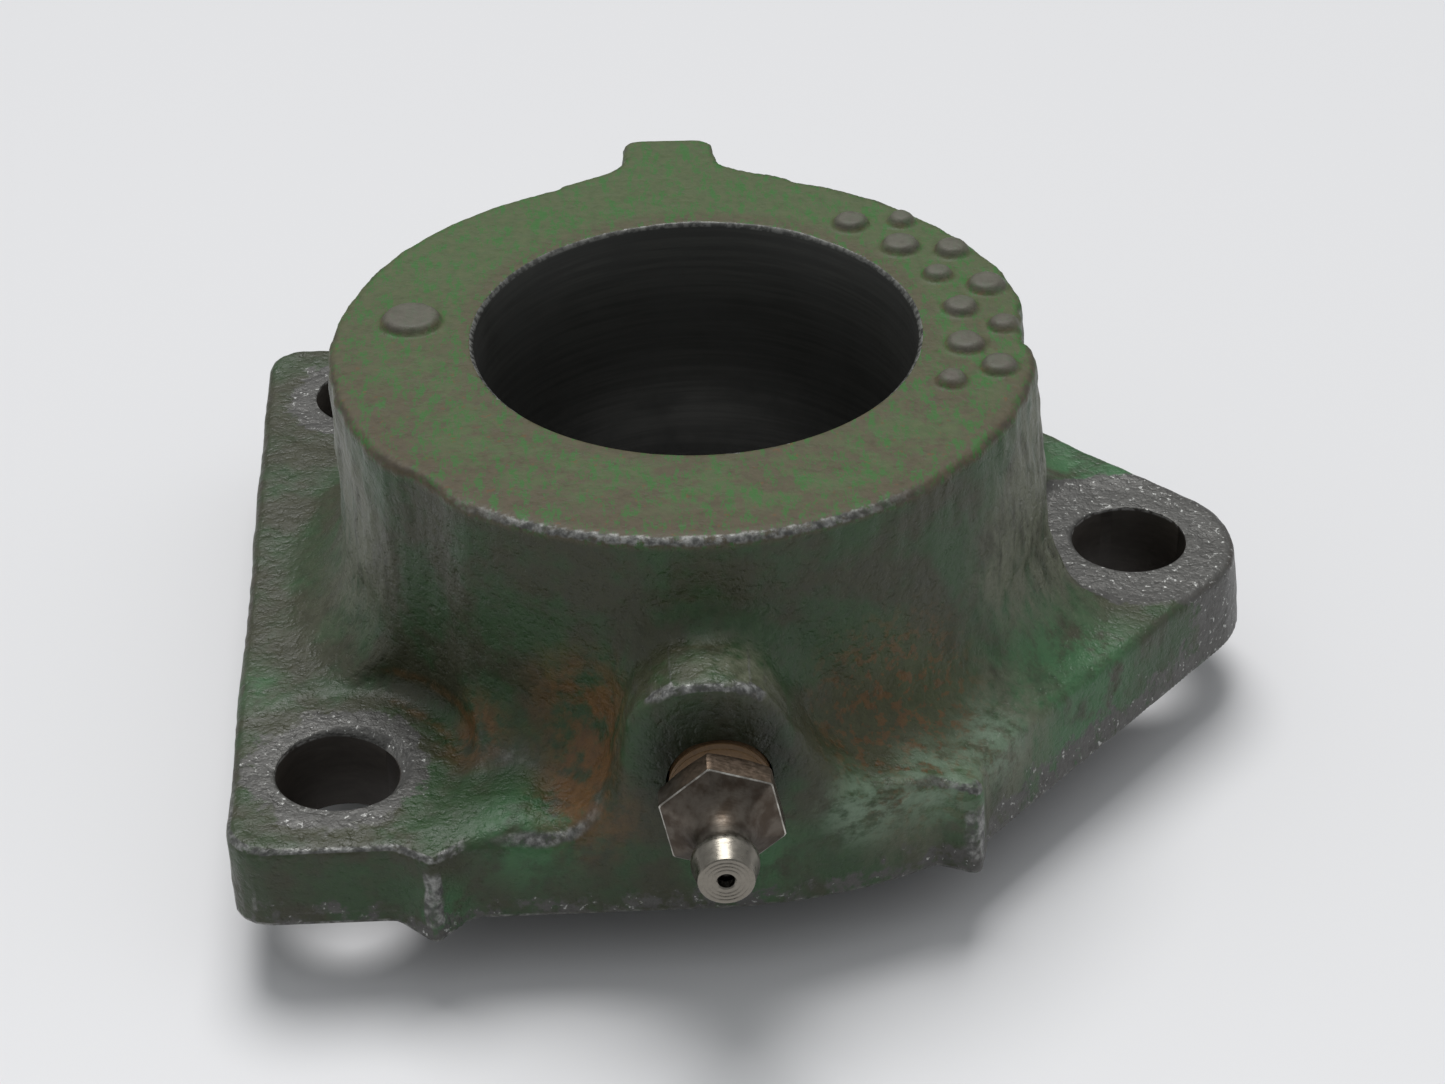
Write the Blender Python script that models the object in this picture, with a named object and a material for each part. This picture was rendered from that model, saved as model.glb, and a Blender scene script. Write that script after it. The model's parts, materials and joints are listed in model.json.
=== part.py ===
"""Three-bolt flange bearing: a bored iron housing with a grease fitting screwed into its side.

Metres. +Z runs along the bore, from the spigot end at z = 0 up to the hub face. +X points from the bore
to the single bolt lobe, and the grease fitting points along -Y.
"""

import math

import bmesh
import bpy
from mathutils import Vector

MM = 0.001

# Heights above the spigot's end face
MOUNTING_FACE_Z = 7.6 * MM
FLANGE_THICKNESS = 9.5 * MM
HUB_FACE_Z = 45.2 * MM
FLANGE_TOP_Z = MOUNTING_FACE_Z + FLANGE_THICKNESS

# Where the bore's axis stands, so that the origin is under the middle of the whole part
BORE_X = -4.496 * MM
BORE_Y = 6.243 * MM

# Bore, spigot and hub
BORE_RADIUS = 23.3 * MM
BORE_CHAMFER = 0.5 * MM
SPIGOT_RADIUS = 30.5 * MM
SPIGOT_CHAMFER = 0.8 * MM
HUB_RADIUS = 36.7 * MM
HUB_CENTRE = (-1.45 * MM, -1.75 * MM)
HUB_FILLET = 8.5 * MM

# Bolt holes and the flat seats cast around them
BOLT_HOLE_RADIUS = 6.25 * MM
LOBE_HOLE_X = 46.9 * MM
CORNER_HOLE_X = -37.85 * MM
CORNER_HOLE_Y = 35.7 * MM
LOBE_SEAT_RADIUS = 12.9 * MM
CORNER_SEAT_RADIUS = 14.1 * MM
SEAT_HEIGHT = 7.0 * MM

# Flange outline
LOBE_RADIUS = 12.4 * MM
FRONT_EDGE_Y = -48.5 * MM
REAR_EDGE_Y = 47.0 * MM
LEFT_EDGE_FRONT_X = -48.2 * MM
LEFT_EDGE_REAR_X = -50.4 * MM
CORNER_ROUND = 3.9 * MM
RIB_TIP_ROUND = 0.8 * MM
RIB_ROOT_ROUND = 2.2 * MM

# Tab at the back of the hub face
TAB_LEFT_X = -6.8 * MM
TAB_RIGHT_X = 3.4 * MM
TAB_END_Y = 43.6 * MM
TAB_DEPTH = 10.0 * MM

# Boss that the grease fitting screws into
BOSS_X = -0.5 * MM
BOSS_RADIUS = 8.7 * MM
BOSS_Z = 25.8 * MM
BOSS_FOOT_HALF_WIDTH = 15.5 * MM
BOSS_FOOT_Z = 18.4 * MM

# Grease fitting, measured outwards from the boss face
FITTING_X = 0.25 * MM
FITTING_Z = 23.3 * MM
THREAD_INNER_END = -7.4 * MM
THREAD_RADIUS = 5.1 * MM
THREAD_ROOT_RADIUS = 4.65 * MM
THREAD_TAPER = 1 / 32
THREAD_PITCH = 25.4 / 27 * MM
HEX_START = 1.9 * MM
HEX_END = 5.5 * MM
HEX_ACROSS_FLATS = 11.11 * MM
HEX_TURN = math.radians(18.5)
TIP_END = 14.45 * MM
HEAD_RADIUS = 3.27 * MM
TIP_RADIUS = 2.65 * MM
NECK_RADIUS = 2.5 * MM
INLET_RADIUS = 0.8 * MM
CHAMBER_RADIUS = 1.65 * MM
CHAMBER_START = 3.2 * MM
OUTLET_RADIUS = 1.1 * MM

# Hole in the boss, and the way on to the bore
THREAD_CLEARANCE = 0.3 * MM
PORT_END = -9.0 * MM
PASSAGE_RADIUS = 2.0 * MM

# Check ball and its spring
BALL_RADIUS = 1.3 * MM
BALL_CENTRE = 12.0 * MM
SPRING_WIRE_RADIUS = 0.18 * MM
SPRING_RADIUS = 1.1 * MM
SPRING_START = 3.75 * MM
SPRING_END = 10.85 * MM
SPRING_TURNS = 7

ROUND_STEPS = 96
HOLE_STEPS = 48


def clear_scene():
    for item in list(bpy.data.objects):
        bpy.data.objects.remove(item, do_unlink=True)


def material(name, colour, roughness, metallic):
    made = bpy.data.materials.new(name)
    made.use_nodes = True
    shader = made.node_tree.nodes["Principled BSDF"]
    shader.inputs["Base Color"].default_value = (*colour, 1.0)
    shader.inputs["Roughness"].default_value = roughness
    shader.inputs["Metallic"].default_value = metallic
    return made


def object_from(name, bm, parent):
    bmesh.ops.recalc_face_normals(bm, faces=bm.faces)
    mesh = bpy.data.meshes.new(name)
    bm.to_mesh(mesh)
    bm.free()
    item = bpy.data.objects.new(name, mesh)
    item.parent = parent
    bpy.context.scene.collection.objects.link(item)
    return item


def as_cutter(item):
    item.hide_render = True
    item.display_type = "WIRE"
    return item


def shade_round(item, degrees=35):
    item.data.shade_smooth()
    item.data.set_sharp_from_angle(angle=math.radians(degrees))


def combine(item, operation, other):
    modifier = item.modifiers.new(f"{operation.lower()}_{other.name}", "BOOLEAN")
    modifier.operation = operation
    modifier.solver = "EXACT"
    modifier.object = other


def arc_points(centre, radius, start, end, steps):
    """Points from angle start to angle end, both included."""
    angles = [start + (end - start) * i / steps for i in range(steps + 1)]
    return [(centre[0] + radius * math.cos(a), centre[1] + radius * math.sin(a)) for a in angles]


def rounded_corner(before, corner, after, radius, steps=5):
    """Points of the arc that rounds one corner of an outline, on its inside or its outside."""
    here = Vector(corner)
    way_in = (here - Vector(before)).normalized()
    way_out = (Vector(after) - here).normalized()
    turn = way_in.angle_signed(way_out)
    if radius == 0 or abs(turn) < 1e-4:
        return [tuple(here)]
    back = radius * math.tan(abs(turn) / 2)
    side = math.copysign(1, -turn)
    start = here - way_in * back
    centre = start + Vector((-way_in.y, way_in.x)) * radius * side
    first = math.atan2(*(start - centre).yx)
    return arc_points(centre, radius, first, first - turn, steps)


def rounded_outline(corners):
    """Points around an outline of (x, y, radius) corners."""
    points = []
    for i, (x, y, radius) in enumerate(corners):
        before = corners[i - 1][:2]
        after = corners[(i + 1) % len(corners)][:2]
        steps = 10 if radius >= LOBE_RADIUS else 5
        points += rounded_corner(before, (x, y), after, radius, steps)
    return points


def flange_outline():
    """Corners of the flange, counter-clockwise from the front left corner."""
    lobe_end_x = LOBE_HOLE_X + LOBE_RADIUS
    lobe_corner_y = 5.2 * MM
    nose_angles = [math.radians(-90 + 27 * i / 6) for i in range(7)]
    front = [(LEFT_EDGE_FRONT_X, FRONT_EDGE_Y, CORNER_ROUND)]
    front.append((-31.6 * MM, FRONT_EDGE_Y, RIB_ROOT_ROUND))
    front.append((-28.0 * MM, FRONT_EDGE_Y - 3.9 * MM, RIB_TIP_ROUND))
    front.append((-24.9 * MM, FRONT_EDGE_Y, RIB_ROOT_ROUND))
    front += [(-FRONT_EDGE_Y * math.cos(a), -FRONT_EDGE_Y * math.sin(a), 0) for a in nose_angles]
    front.append((26.2 * MM, -45.2 * MM, RIB_TIP_ROUND))
    front.append((27.8 * MM, -39.5 * MM, RIB_ROOT_ROUND))
    front.append((lobe_end_x, -lobe_corner_y, LOBE_RADIUS))
    rear_shift = REAR_EDGE_Y + FRONT_EDGE_Y
    rear = [(x, -y + rear_shift * min(1, abs(y) / (30 * MM)), r) for x, y, r in front[1:]]
    rear.append((LEFT_EDGE_REAR_X, REAR_EDGE_Y, CORNER_ROUND))
    return front + rear[len(front) - 2 :: -1] + rear[-1:]


def tab_outline():
    flank_y = 37.0 * MM
    flare_y = 33.0 * MM
    inside_y = 26.0 * MM
    return [
        (-11.0 * MM, inside_y, 0),
        (11.0 * MM, inside_y, 0),
        (11.4 * MM, flare_y, 0),
        (TAB_RIGHT_X + 0.2 * MM, flank_y, 3.4 * MM),
        (TAB_RIGHT_X, TAB_END_Y - 0.5 * MM, 1.8 * MM),
        (TAB_LEFT_X, TAB_END_Y, 1.8 * MM),
        (TAB_LEFT_X - 0.2 * MM, flank_y, 3.4 * MM),
        (-14.0 * MM, flare_y, 0),
    ]


def boss_outline():
    """The boss seen from the front, as x and height: a round top on legs that splay into the flange."""
    splay = math.radians(14)
    top = arc_points((BOSS_X, BOSS_Z), BOSS_RADIUS, -splay, math.pi + splay, 20)
    buried_z = MOUNTING_FACE_Z + 3.0 * MM
    right_x = BOSS_X + BOSS_FOOT_HALF_WIDTH
    left_x = BOSS_X - BOSS_FOOT_HALF_WIDTH
    feet = [(left_x, BOSS_FOOT_Z), (left_x, buried_z), (right_x, buried_z), (right_x, BOSS_FOOT_Z)]
    return top + feet


def prism(name, outline, low, high, parent):
    """An outline in X and Y, extruded from one height to another."""
    bm = bmesh.new()
    face = bm.faces.new([bm.verts.new((x, y, low)) for x, y in outline])
    grown = bmesh.ops.extrude_face_region(bm, geom=[face])
    risen = [item for item in grown["geom"] if isinstance(item, bmesh.types.BMVert)]
    bmesh.ops.translate(bm, verts=risen, vec=(0, 0, high - low))
    return object_from(name, bm, parent)


def turned(name, profile, parent, steps=ROUND_STEPS):
    """A profile of (radius, height) points spun about Z, which ends on the axis or closes on itself."""
    bm = bmesh.new()
    on_axis = profile[0][0] == 0
    rings = []
    for radius, height in profile:
        turns = 1 if radius == 0 else steps
        angles = [math.tau * i / steps for i in range(turns)]
        rings.append([bm.verts.new((radius * math.cos(a), radius * math.sin(a), height)) for a in angles])
    pairs = list(zip(rings, rings[1:] + ([] if on_axis else rings[:1])))
    for low, high in pairs:
        for i in range(steps):
            j = (i + 1) % steps
            corners = [low[i % len(low)], low[j % len(low)], high[j % len(high)], high[i % len(high)]]
            bm.faces.new(list(dict.fromkeys(corners)))
    return object_from(name, bm, parent)


def hole(name, centre, radius, low, high, parent, steps=HOLE_STEPS):
    """A round cutter along Z."""
    cutter = turned(name, [(0, low), (radius, low), (radius, high), (0, high)], parent, steps)
    cutter.location = (centre[0], centre[1], 0)
    return as_cutter(cutter)


def along_fitting(item):
    """Turns a piece made along +Z to lie on the grease fitting's axis, with z = 0 at the boss face."""
    item.location = (FITTING_X, FRONT_EDGE_Y, FITTING_Z)
    item.rotation_euler = (math.pi / 2, 0, 0)
    return item


def hub_and_flange(parent):
    """The hub, its fillet and a flange wider than the outline that trims it."""
    reach = 75 * MM
    over = 5 * MM
    fillet_centre = (HUB_RADIUS + HUB_FILLET, FLANGE_TOP_Z + HUB_FILLET)
    fillet = arc_points(fillet_centre, HUB_FILLET, 1.5 * math.pi, math.pi, 8)
    profile = [(0, MOUNTING_FACE_Z - over), (reach, MOUNTING_FACE_Z - over), (reach, FLANGE_TOP_Z)]
    profile += fillet
    profile += [(HUB_RADIUS, HUB_FACE_Z + over), (0, HUB_FACE_Z + over)]
    item = turned("housing", profile, parent)
    item.location = (*HUB_CENTRE, 0)
    return item


def boss(parent):
    """The boss, run forward past the outline that trims its face."""
    item = prism("boss_blank", boss_outline(), 0, 30 * MM, parent)
    item.location = (0, FRONT_EDGE_Y + 22 * MM, 0)
    item.rotation_euler = (math.pi / 2, 0, 0)
    return as_cutter(item)


def spigot(parent):
    profile = [(0, 0), (SPIGOT_RADIUS - SPIGOT_CHAMFER, 0), (SPIGOT_RADIUS, SPIGOT_CHAMFER)]
    profile += [(SPIGOT_RADIUS, MOUNTING_FACE_Z + 4 * MM), (0, MOUNTING_FACE_Z + 4 * MM)]
    return as_cutter(turned("spigot_blank", profile, parent))


def bore_cutter(parent):
    over = 2 * MM
    wide = BORE_RADIUS + BORE_CHAMFER + over
    profile = [(0, -over), (wide, -over), (BORE_RADIUS, BORE_CHAMFER)]
    profile += [(BORE_RADIUS, HUB_FACE_Z - BORE_CHAMFER), (wide, HUB_FACE_Z + over), (0, HUB_FACE_Z + over)]
    return as_cutter(turned("bore_cutter", profile, parent))


def port_cutter(parent):
    """The threaded hole's clearance and the passage that carries on from it into the bore."""
    over = 3 * MM
    mouth = THREAD_RADIUS + THREAD_CLEARANCE
    inner = mouth + PORT_END * THREAD_TAPER
    cone_end = PORT_END - (inner - PASSAGE_RADIUS) * 0.6
    passage_end = -(-FRONT_EDGE_Y - BORE_RADIUS) - over
    profile = [(0, passage_end), (PASSAGE_RADIUS, passage_end), (PASSAGE_RADIUS, cone_end)]
    profile += [(inner, PORT_END), (mouth, 0), (mouth, over), (0, over)]
    return as_cutter(along_fitting(turned("port_cutter", profile, parent, HOLE_STEPS)))


def build_housing(parent):
    item = hub_and_flange(parent)
    item.data.materials.append(material("housing_paint", (0.045, 0.085, 0.045), 0.5, 0.0))
    combine(item, "UNION", boss(parent))
    above = HUB_FACE_Z + 5 * MM
    tab = prism("tab_blank", rounded_outline(tab_outline()), HUB_FACE_Z - TAB_DEPTH, above, parent)
    combine(item, "UNION", as_cutter(tab))
    outline = rounded_outline(flange_outline())
    trim = prism("outline_trim", outline, MOUNTING_FACE_Z, HUB_FACE_Z, parent)
    combine(item, "INTERSECT", as_cutter(trim))
    combine(item, "UNION", spigot(parent))
    combine(item, "DIFFERENCE", bore_cutter(parent))
    bolts = [("lobe", (LOBE_HOLE_X, 0), LOBE_SEAT_RADIUS)]
    bolts.append(("front_corner", (CORNER_HOLE_X, -CORNER_HOLE_Y), CORNER_SEAT_RADIUS))
    bolts.append(("rear_corner", (CORNER_HOLE_X, CORNER_HOLE_Y), CORNER_SEAT_RADIUS))
    seat_top = FLANGE_TOP_Z + SEAT_HEIGHT
    for name, centre, seat_radius in bolts:
        seat = hole(f"{name}_seat_cutter", centre, seat_radius, FLANGE_TOP_Z, seat_top, parent)
        combine(item, "DIFFERENCE", seat)
        drill = hole(f"{name}_bolt_cutter", centre, BOLT_HOLE_RADIUS, 0, HUB_FACE_Z, parent)
        combine(item, "DIFFERENCE", drill)
    combine(item, "DIFFERENCE", port_cutter(parent))
    shade_round(item)


def thread_profile():
    """(radius, height) points of the tapered thread as rings, from its inner end to the hexagon."""
    points = []
    height = THREAD_INNER_END
    while height + THREAD_PITCH < HEX_START:
        shrink = height * THREAD_TAPER
        points.append((THREAD_ROOT_RADIUS + shrink, height))
        points.append((THREAD_RADIUS + shrink, height + 0.4 * THREAD_PITCH))
        points.append((THREAD_RADIUS + shrink, height + 0.6 * THREAD_PITCH))
        height += THREAD_PITCH
    points.append((THREAD_ROOT_RADIUS, height))
    return points


def fitting_profile():
    """The turned outside from the thread to the tip, then back down the inside."""
    collar = HEX_ACROSS_FLATS / 2 * 0.9
    outside = thread_profile()
    outside += [(THREAD_ROOT_RADIUS, HEX_START + 0.4 * MM), (collar, HEX_END - 0.6 * MM), (collar, HEX_END)]
    sweep_low = HEX_END
    sweep_high = 9.0 * MM
    for i in range(1, 9):
        along = i / 8
        radius = NECK_RADIUS + (collar - NECK_RADIUS) * (1 - along) ** 2.2
        outside.append((radius, sweep_low + (sweep_high - sweep_low) * along))
    outside += [(NECK_RADIUS, 10.4 * MM), (HEAD_RADIUS, 11.3 * MM), (HEAD_RADIUS, 12.4 * MM)]
    outside += [(TIP_RADIUS + 0.25 * MM, TIP_END - 0.5 * MM), (TIP_RADIUS, TIP_END)]
    inside = [(INLET_RADIUS, TIP_END), (INLET_RADIUS, 13.35 * MM), (CHAMBER_RADIUS, 12.6 * MM)]
    inside += [(CHAMBER_RADIUS, CHAMBER_START), (OUTLET_RADIUS, CHAMBER_START)]
    inside.append((OUTLET_RADIUS, THREAD_INNER_END))
    return outside + inside


def hexagon(parent):
    """The spanner hexagon, with its front corners chamfered by a cone and hollow like the fitting."""
    reach = HEX_ACROSS_FLATS / math.sqrt(3)
    angles = [math.radians(60 * i) for i in range(6)]
    outline = [(reach * math.cos(a), reach * math.sin(a)) for a in angles]
    blank = prism("hexagon_blank", outline, HEX_START, HEX_END, parent)
    along_fitting(blank)
    blank.rotation_euler = (math.pi / 2, HEX_TURN, 0)
    hollow = turned("hexagon_hollow", [(0, 0), (3 * MM, 0), (3 * MM, TIP_END), (0, TIP_END)], parent, 24)
    combine(blank, "DIFFERENCE", as_cutter(along_fitting(hollow)))
    back = HEX_START - 1 * MM
    front = HEX_END + 0.2 * MM
    wide = reach + 0.1 * MM
    cone = [(0, back), (reach - 0.6 * MM, back), (wide, HEX_START + 0.7 * MM)]
    cone += [(wide, HEX_END - 0.5 * MM), (reach - 0.5 * MM, front), (0, front)]
    combine(blank, "INTERSECT", as_cutter(along_fitting(turned("hexagon_chamfer", cone, parent, HOLE_STEPS))))
    return as_cutter(blank)


def build_fitting(parent):
    item = along_fitting(turned("grease_fitting", fitting_profile(), parent, 32))
    item.data.materials.append(material("fitting_steel", (0.36, 0.32, 0.27), 0.35, 1.0))
    combine(item, "UNION", hexagon(parent))
    shade_round(item)


def build_ball(parent):
    """The check ball, with its origin at its centre on the axis that it slides along."""
    bm = bmesh.new()
    bmesh.ops.create_uvsphere(bm, u_segments=24, v_segments=16, radius=BALL_RADIUS)
    item = object_from("check_ball", bm, parent)
    item.location = (FITTING_X, FRONT_EDGE_Y - BALL_CENTRE, FITTING_Z)
    item.data.materials.append(material("ball_steel", (0.55, 0.55, 0.56), 0.2, 1.0))
    item.data.shade_smooth()


def build_spring(parent):
    """A round wire wound along the fitting's axis, as a bevelled curve."""
    steps = 14
    count = SPRING_TURNS * steps + 1
    curve = bpy.data.curves.new("ball_spring", "CURVE")
    curve.dimensions = "3D"
    curve.bevel_depth = SPRING_WIRE_RADIUS
    curve.bevel_resolution = 1
    curve.use_fill_caps = True
    spline = curve.splines.new("POLY")
    spline.points.add(count - 1)
    for i, point in enumerate(spline.points):
        angle = math.tau * i / steps
        height = SPRING_START + (SPRING_END - SPRING_START) * i / (count - 1)
        point.co = (SPRING_RADIUS * math.cos(angle), SPRING_RADIUS * math.sin(angle), height, 1)
    item = bpy.data.objects.new("ball_spring", curve)
    item.parent = parent
    bpy.context.scene.collection.objects.link(item)
    along_fitting(item)
    item.data.materials.append(material("spring_steel", (0.42, 0.41, 0.4), 0.3, 1.0))


def main():
    clear_scene()
    axis = bpy.data.objects.new("bore_axis", None)
    bpy.context.scene.collection.objects.link(axis)
    axis.location = (BORE_X, BORE_Y, 0)
    build_housing(axis)
    build_fitting(axis)
    build_ball(axis)
    build_spring(axis)


main()
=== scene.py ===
"""The looks of a worn, green-painted three-bolt flange bearing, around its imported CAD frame.

The scene is in metres, +Z up. The casting and the grease fitting are described in millimetres: x and y from
the bore's axis, z up from the spigot's end face, and distances along the fitting outwards from the face that
it screws into.
"""

import itertools
import json
import math

import bmesh
import bpy
import numpy as np
from mathutils import Matrix, Vector


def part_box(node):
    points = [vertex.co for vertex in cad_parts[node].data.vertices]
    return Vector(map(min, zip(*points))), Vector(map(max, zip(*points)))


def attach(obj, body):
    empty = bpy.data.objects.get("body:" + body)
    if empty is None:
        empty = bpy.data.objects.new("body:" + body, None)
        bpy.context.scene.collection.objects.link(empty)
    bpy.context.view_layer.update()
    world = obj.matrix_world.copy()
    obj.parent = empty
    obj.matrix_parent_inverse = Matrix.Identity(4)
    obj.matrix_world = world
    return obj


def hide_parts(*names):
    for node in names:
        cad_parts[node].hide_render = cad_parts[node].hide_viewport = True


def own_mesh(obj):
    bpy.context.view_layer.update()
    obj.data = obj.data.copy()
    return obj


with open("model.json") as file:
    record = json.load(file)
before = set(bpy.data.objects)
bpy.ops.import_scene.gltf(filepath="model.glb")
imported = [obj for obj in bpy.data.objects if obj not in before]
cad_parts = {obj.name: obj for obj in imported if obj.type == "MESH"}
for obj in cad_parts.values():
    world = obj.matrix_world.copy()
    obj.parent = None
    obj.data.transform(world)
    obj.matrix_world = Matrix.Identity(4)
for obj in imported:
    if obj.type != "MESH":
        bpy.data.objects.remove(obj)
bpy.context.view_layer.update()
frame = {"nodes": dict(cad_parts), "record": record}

MM = 0.001

# Places that come from the frame
housing_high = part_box("housing")[1]
fitting_low, fitting_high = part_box("grease_fitting")
mounts = {mount["name"]: mount["pos_m"] for mount in frame["record"]["mounts"]}

LOBE_END_X = 59.3
BORE_AXIS = Vector((housing_high.x - LOBE_END_X * MM, mounts["mounting_face"][1], 0))
MOUNTING_FACE_Z = mounts["mounting_face"][2] / MM
FLANGE_TOP_Z = mounts["lobe_bolt_seat"][2] / MM
HUB_FACE_Z = housing_high.z / MM

# The casting
BORE_RADIUS = 23.3
BORE_CHAMFER = 0.4
SPIGOT_RADIUS = 30.5
HUB_X, HUB_Y, HUB_RADIUS = -1.45, -1.75, 36.7
HUB_FILLET = 8.5
BOLT_HOLE_RADIUS = 6.25
BOLT_HOLE_CHAMFER = 0.3
LOBE_HOLE = (46.9, 0.0)
FRONT_HOLE = (-37.85, -35.7)
REAR_HOLE = (-37.85, 35.7)
BOLT_HOLES = {"lobe_hole": LOBE_HOLE, "front_hole": FRONT_HOLE, "rear_hole": REAR_HOLE}
SEAT_RADII = {"lobe_hole": 12.9, "front_hole": 14.1, "rear_hole": 14.1}
FRONT_EDGE_Y = -48.5
REAR_EDGE_Y = 46.8
TAB_MIDDLE_X = -1.8
TAB_HALF_WIDTH = 5.2
TAB_DEPTH = 10
MARK_HEIGHT = 0.9
GRID_PITCH = 0.45

# How far into the casting, and out of it, the masks feel for edges and for hollows
EDGE_DEPTH = 1.5
HOLLOW_REACH = 5

# The grease fitting
FITTING_X = ((fitting_low.x + fitting_high.x) / 2 - BORE_AXIS.x) / MM
FITTING_Z = (fitting_low.z + fitting_high.z) / 2 / MM
TIP_END = 14.45
THREAD_START = -6.2
THREAD_PITCH = 25.4 / 27
HEX_TURN = math.radians(18.5)
HEX_FLAT_RADIUS = 11.11 / 2
HEX_RING_RADIUS = 5.6
HEX_END = 5.46

# The ball's spring
SPRING_RADIUS = 1.1
SPRING_WIRE = 0.18
SPRING_TURNS = 7
SPRING_START = 3.75
SPRING_END = 10.85

# Light
KEY_LIGHT = 1.94
CEILING_LIGHT = 0.49
SIDE_LIGHT = 0.24
WALL_LIGHT = 0.08

# The camera, with its angles in degrees and its distance in metres
CAMERA_RISE = 34.384
CAMERA_SIDE = 1.64
CAMERA_ROLL = -1.179
CAMERA_AIM = (1.21, -39.02)
CAMERA_DISTANCE = 0.3235
CAMERA_LENS = 84.706


# ---- Signed distances ----


def rounded_union(a, b, radius):
    """Two solids joined, with a fillet where they meet."""
    near = np.hypot(np.maximum(radius - a, 0), np.maximum(radius - b, 0))
    return np.maximum(radius, np.minimum(a, b)) - near


def rounded_common(a, b, radius):
    """What two solids share, with its edge rounded."""
    return -rounded_union(-a, -b, radius)


def smooth_step(value, low, high):
    along = np.clip((value - low) / (high - low), 0, 1)
    return along * along * (3 - 2 * along)


def arc_points(centre, radius, first, last, steps):
    angles = [first + (last - first) * i / steps for i in range(steps + 1)]
    return [(centre[0] + radius * math.cos(a), centre[1] + radius * math.sin(a)) for a in angles]


def rounded_outline(corners):
    """Points around an outline of (x, y, radius) corners."""
    points = []
    for i, (x, y, radius) in enumerate(corners):
        here = Vector((x, y))
        way_in = (here - Vector(corners[i - 1][:2])).normalized()
        way_out = (Vector(corners[(i + 1) % len(corners)][:2]) - here).normalized()
        turn = way_in.angle_signed(way_out)
        if radius == 0 or abs(turn) < 0.01:
            points.append((x, y))
            continue
        start = here - way_in * radius * math.tan(abs(turn) / 2)
        centre = start + Vector((-way_in.y, way_in.x)) * radius * math.copysign(1, -turn)
        first = math.atan2(*(start - centre).yx)
        points += arc_points(centre, radius, first, first - turn, 8 if radius > 8 else 4)
    return points


def outline_distance(x, y, points):
    """Signed distance in a plane to a closed outline, negative inside."""
    nearest = np.inf
    inside = False
    for (ax, ay), (bx, by) in zip(points, points[1:] + points[:1]):
        run, rise = bx - ax, by - ay
        along = np.clip(((x - ax) * run + (y - ay) * rise) / (run * run + rise * rise), 0, 1)
        nearest = np.minimum(nearest, (x - ax - run * along) ** 2 + (y - ay - rise * along) ** 2)
        if rise != 0:
            crossed = ((ay > y) != (by > y)) & (x < ax + (y - ay) * run / rise)
            inside = inside ^ crossed
    return np.where(inside, -1, 1) * np.sqrt(nearest)


def flange_outline(lean):
    """The flange's outline at its foot (lean 0) or its top edge (lean 1), where its walls have drawn in."""
    rib_y = FRONT_EDGE_Y - 3.9 + 1.8 * lean
    front_y = FRONT_EDGE_Y + 0.3 * lean
    front = [(-48.2, front_y, 3.9), (-31.9, front_y, 2.4), (-28.0, rib_y, 0.9), (-24.4, front_y, 3.0)]
    nose_radius = -front_y
    nose = [math.radians(-90 + 4.5 * i) for i in range(7)]
    front += [(nose_radius * math.cos(a), nose_radius * math.sin(a), 0) for a in nose]
    front += [(26.3, -45.1 + 1.9 * lean, 0.8), (27.6 - 1.0 * lean, -39.6 + 0.9 * lean, 2.2)]
    lobe = [(LOBE_END_X - 0.9 * lean, -5.2 + 0.4 * lean, 12.4 - 0.8 * lean)]
    lobe += [(LOBE_END_X - 0.9 * lean, 5.0, 12.0 - 0.6 * lean), (50.2 - 0.7 * lean, 13.7 - 0.5 * lean, 5.0)]
    rear = [(27.8 - 1.0 * lean, 37.8 - 0.9 * lean, 2.2), (26.2, 43.5 - 1.9 * lean, 0.8)]
    rear += [(REAR_EDGE_Y * math.cos(-a), REAR_EDGE_Y * math.sin(-a), 0) for a in reversed(nose)]
    rear += [(-24.9, REAR_EDGE_Y, 2.2), (-28.0, REAR_EDGE_Y + 3.9 - 1.8 * lean, 0.9)]
    rear += [(-31.6, REAR_EDGE_Y, 2.2), (-50.2, REAR_EDGE_Y, 3.9)]
    return rounded_outline(front + lobe + rear)


# The tab seen from above
TAB_OUTLINE = rounded_outline([
    (-11, 26, 0), (11, 26, 0), (11.4, 33, 0), (3.6, 37.2, 3.4), (3.3, 43.2, 1.8),
    (-6.8, 43.6, 1.8), (-7.0, 37.2, 3.4), (-14, 33, 0),
])

# The boss seen from the front, as x and height: its left flank is steep, its right one runs out in a ramp
BOSS_OUTLINE = rounded_outline([
    (-14.5, 16.2, 0), (-10.6, 21.6, 6), (-7.2, 34.9, 7), (3.9, 35.1, 7), (10.2, 23.6, 8),
    (14.4, 19.6, 4), (20.2, 18.3, 3), (24.0, 16.0, 0), (24.0, 10, 0), (-14.5, 10, 0),
])

FLANGE_FOOT_OUTLINE = flange_outline(0)
FLANGE_TOP_OUTLINE = flange_outline(1)


def foundry_marks(x, y):
    """Height of the raised marks on the hub face: one disc, and two staggered rows of plain pips."""
    pips = [(172, 30.2, 3.0)]
    for i in range(11):
        pips.append((51 - 7.5 * i, 28.2 + 4.0 * (i % 2), (1.75, 1.45, 1.95)[i % 3]))
    marks = np.full(np.broadcast(x, y).shape, np.inf)
    for turn, reach, radius in pips:
        angle = math.radians(turn)
        beside = np.hypot(x - reach * math.cos(angle), y - reach * math.sin(angle)) - radius
        marks = np.minimum(marks, beside)
    return MARK_HEIGHT * (1 - smooth_step(marks, -0.45, 0.45))


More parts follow.
